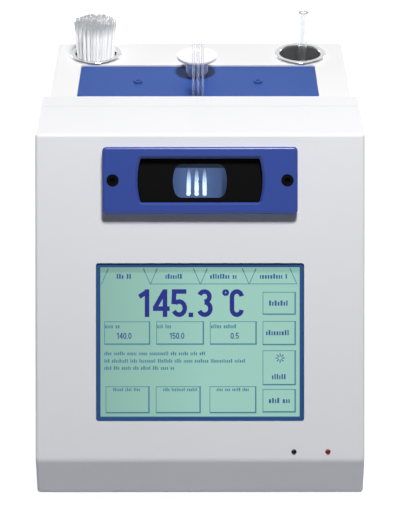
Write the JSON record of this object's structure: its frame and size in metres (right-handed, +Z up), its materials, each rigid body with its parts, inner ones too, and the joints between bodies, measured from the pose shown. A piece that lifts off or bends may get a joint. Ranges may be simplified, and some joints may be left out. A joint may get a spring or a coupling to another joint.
{
  "type": "melting point apparatus",
  "caption": "Bench melting point apparatus with a leaning front panel, touch display, magnifier window and an oven for glass capillaries, with two sunk cups on top.",
  "frame": {"origin": "on the bench, under the middle of the outline", "axes": "+X to the instrument's right, +Y to its back, +Z up; the front panel faces -Y"},
  "size_m": [0.19, 0.232, 0.2256],
  "materials": {
    "white_moulding": "fine matt texture",
    "white_enamel": "fine powder coat",
    "plated_sheet": "zinc plated, dull",
    "blue_moulding": "satin",
    "blue_paint": "satin",
    "black_moulding": "matt",
    "optical_glass": "polished",
    "display_face": "satin film",
    "steel_module": "plain",
    "green_board": "solder mask",
    "black_oxide": "black oxide",
    "zinc_screw": "plated",
    "dark_lamp": "diffused",
    "red_lamp": "diffused",
    "chrome_cup": "polished",
    "white_ptfe": "machined",
    "clear_glass": "fire polished",
    "aluminium_block": "machined",
    "insulation": "pressed fibre",
    "brown_guide": "machined",
    "supply_parts": "mixed",
    "black_rubber": "moulded",
    "nickel_pin": "nickel plated",
    "socket_shell": "plated"
  },
  "bodies": {
    "instrument": {"base_tray": "plated_sheet", "beam_splitter": "optical_glass", "bezel_nuts": "zinc_screw", "bezel_screws": "black_oxide", "board_screws": "zinc_screw", "camera_barrel": "black_moulding", "camera_board": "green_board", "capillary_guide": "brown_guide", "cartridge_heater": "steel_module", "collar_frame": "white_moulding", "computer_socket": "socket_shell", "display_border_frame": "blue_moulding", "display_module": "steel_module", "fan_frame": "black_moulding", "fan_guard": "plated_sheet", "fan_screws": "zinc_screw", "feet": "black_rubber", "foot_screws": "zinc_screw", "front_shell": "white_moulding", "heater_block": "aluminium_block", "housing_cover": "white_enamel", "housing_screws": "zinc_screw", "inlet_body": "black_moulding", "inlet_pins": "nickel_pin", "lamp_board": "green_board", "left_cup": "chrome_cup", "lens_ring": "black_moulding", "magnifier_lens": "optical_glass", "main_board": "green_board", "oven_jacket": "insulation", "oven_lid": "insulation", "oven_stand": "plated_sheet", "oven_window": "optical_glass", "plate_pillars": "nickel_pin", "plate_screws": "black_oxide", "port_sleeve": "white_ptfe", "power_lamp": "red_lamp", "power_supply": "supply_parts", "ready_lamp": "dark_lamp", "rear_panel": "white_enamel", "right_cup": "chrome_cup", "sample_light": "green_board", "shell_screws": "zinc_screw", "standoffs": "nickel_pin", "switch_body": "black_moulding", "temperature_sensor": "steel_module", "top_plate": "blue_paint", "touch_screen": "display_face", "viewer_bezel": "blue_moulding", "viewer_insert": "black_moulding", "viewing_tube": "black_moulding"},
    "port_plug": {"port_plug": "white_ptfe"},
    "left_capillary": {"sample_capillary_left": "clear_glass"},
    "middle_capillary": {"sample_capillary_middle": "clear_glass"},
    "right_capillary": {"sample_capillary_right": "clear_glass"},
    "spare_bundle": {"spare_capillaries": "clear_glass"},
    "packing_stick": {"packing_tube": "clear_glass"},
    "rocker": {"power_rocker": "black_moulding"},
    "rotor": {"fan_rotor": "black_moulding"},
    "fuse_holder": {"fuse_drawer": "black_moulding"}
  },
  "joints": [
    {"name": "plug_lift", "type": "slide", "parent": "instrument", "child": "port_plug", "axis": [0, 0, 1], "range_m": [0, 0.03]},
    {"name": "left_capillary_lift", "type": "slide", "parent": "instrument", "child": "left_capillary", "axis": [0, 0, 1], "range_m": [0, 0.072]},
    {"name": "middle_capillary_lift", "type": "slide", "parent": "instrument", "child": "middle_capillary", "axis": [0, 0, 1], "range_m": [0, 0.072]},
    {"name": "right_capillary_lift", "type": "slide", "parent": "instrument", "child": "right_capillary", "axis": [0, 0, 1], "range_m": [0, 0.072]},
    {"name": "spare_bundle_lift", "type": "slide", "parent": "instrument", "child": "spare_bundle", "axis": [0, 0, 1], "range_m": [0, 0.085]},
    {"name": "packing_tube_lift", "type": "slide", "parent": "instrument", "child": "packing_stick", "axis": [0, 0, 1], "range_m": [0, 0.085]},
    {"name": "rocker_pivot", "type": "hinge", "parent": "instrument", "child": "rocker", "pos_m": [0.048, 0.1096, 0.084], "axis": [-1, 0, 0], "range_deg": [0, 13]},
    {"name": "rotor_spin", "type": "hinge", "parent": "instrument", "child": "rotor", "pos_m": [0, 0.0968, 0.118], "axis": [0, 1, 0], "continuous": true},
    {"name": "fuse_drawer_slide", "type": "slide", "parent": "instrument", "child": "fuse_holder", "axis": [0, 1, 0], "range_m": [0, 0.02]}
  ]
}
